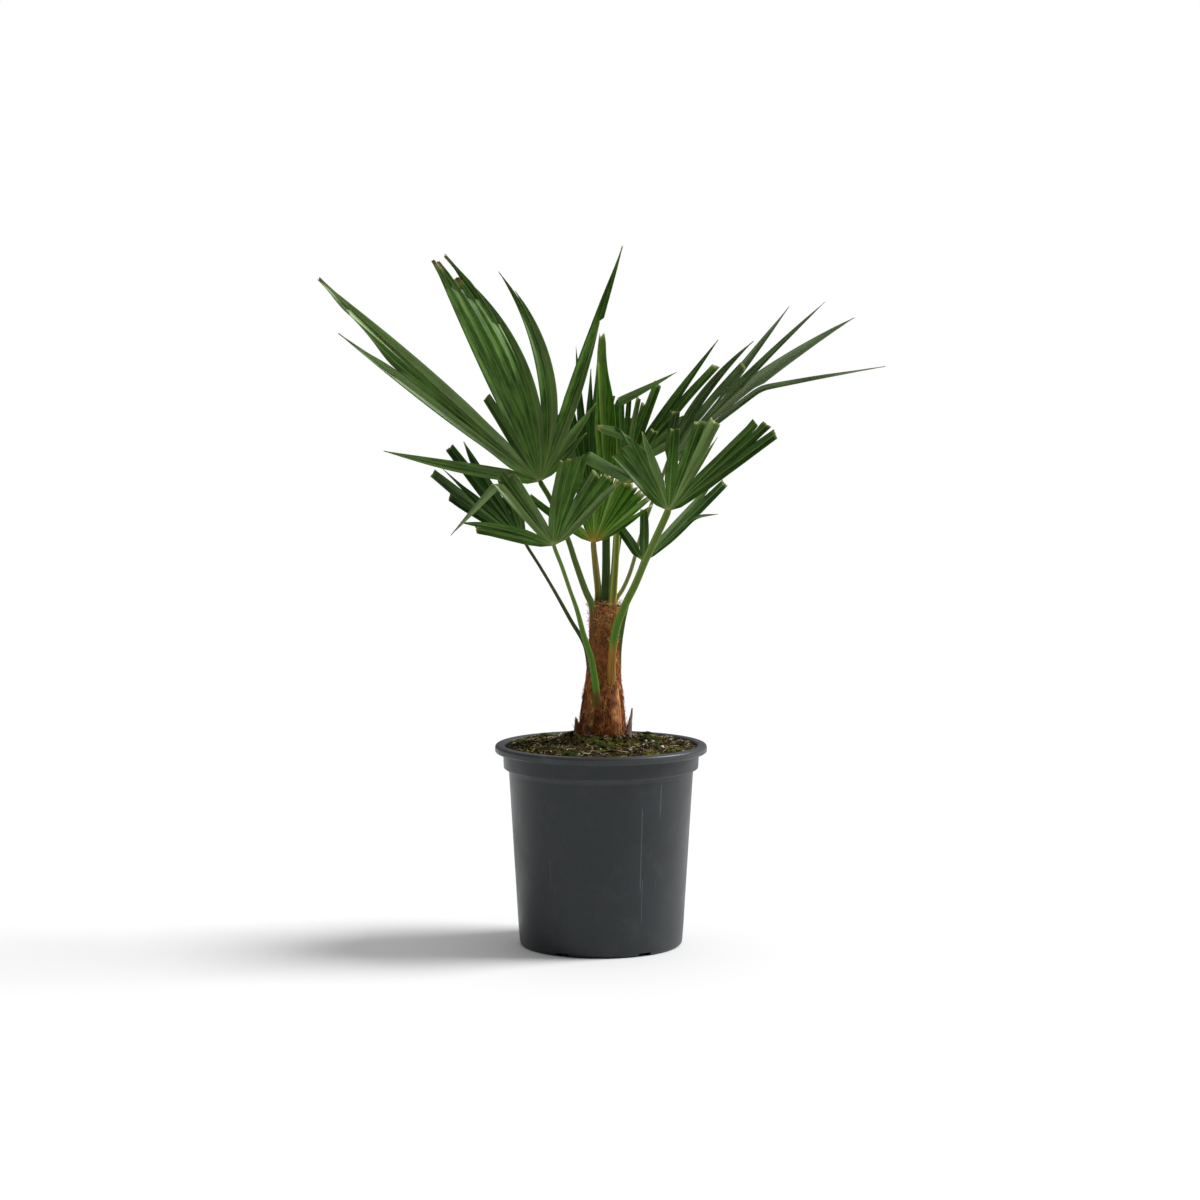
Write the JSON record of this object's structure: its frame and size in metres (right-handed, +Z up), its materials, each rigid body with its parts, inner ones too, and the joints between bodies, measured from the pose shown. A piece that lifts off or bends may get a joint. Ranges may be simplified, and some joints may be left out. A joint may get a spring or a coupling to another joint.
{
  "type": "potted windmill palm",
  "caption": "Young windmill palm with pleated fan leaves on slender stalks above a short fibrous trunk, growing in soil in a round tapered nursery pot.",
  "frame": {"origin": "centre of the flat underside of the pot", "axes": "+Z up along the pot axis; the front, as pictured, faces -Y; +X to the right seen from the front"},
  "size_m": [0.5546, 0.2204, 0.6911],
  "materials": {
    "bright_green_blade": "glossy leaf",
    "bright_green_stalk": "satin leaf stalk",
    "dark_green_blade": "glossy leaf",
    "dark_green_stalk": "satin leaf stalk",
    "fibre_sheath": "woven dry fibre",
    "green_blade": "glossy leaf",
    "green_stalk": "satin leaf stalk",
    "moss": "matt, fine tufts",
    "nursery_pot": "satin charcoal plastic",
    "old_leaf_base": "dry, fibrous",
    "potting_soil": "damp peat, matt",
    "spear_leaf": "glossy leaf",
    "trunk": "rough fibrous bark"
  },
  "bodies": {
    "root": {"fibre_sheath": "fibre_sheath", "leaf_01_blade": "green_blade", "leaf_01_stalk": "green_stalk", "leaf_02_blade": "green_blade", "leaf_02_stalk": "green_stalk", "leaf_03_blade": "dark_green_blade", "leaf_03_stalk": "dark_green_stalk", "leaf_04_blade": "bright_green_blade", "leaf_04_stalk": "bright_green_stalk", "leaf_05_blade": "green_blade", "leaf_05_stalk": "green_stalk", "leaf_06_blade": "dark_green_blade", "leaf_06_stalk": "dark_green_stalk", "leaf_07_blade": "dark_green_blade", "leaf_07_stalk": "dark_green_stalk", "leaf_08_blade": "bright_green_blade", "leaf_08_stalk": "bright_green_stalk", "leaf_09_blade": "green_blade", "leaf_09_stalk": "green_stalk", "leaf_10_blade": "dark_green_blade", "leaf_10_stalk": "dark_green_stalk", "leaf_11_blade": "green_blade", "leaf_11_stalk": "green_stalk", "moss_1": "moss", "moss_2": "moss", "moss_3": "moss", "moss_4": "moss", "moss_5": "moss", "moss_6": "moss", "moss_7": "moss", "moss_8": "moss", "moss_9": "moss", "nursery_pot": "nursery_pot", "old_leaf_base_1": "old_leaf_base", "old_leaf_base_2": "old_leaf_base", "old_leaf_base_3": "old_leaf_base", "old_leaf_base_4": "old_leaf_base", "old_leaf_base_5": "old_leaf_base", "old_leaf_base_6": "old_leaf_base", "old_leaf_base_7": "old_leaf_base", "potting_soil": "potting_soil", "spear_leaf": "spear_leaf", "trunk": "trunk"}
  },
  "joints": []
}
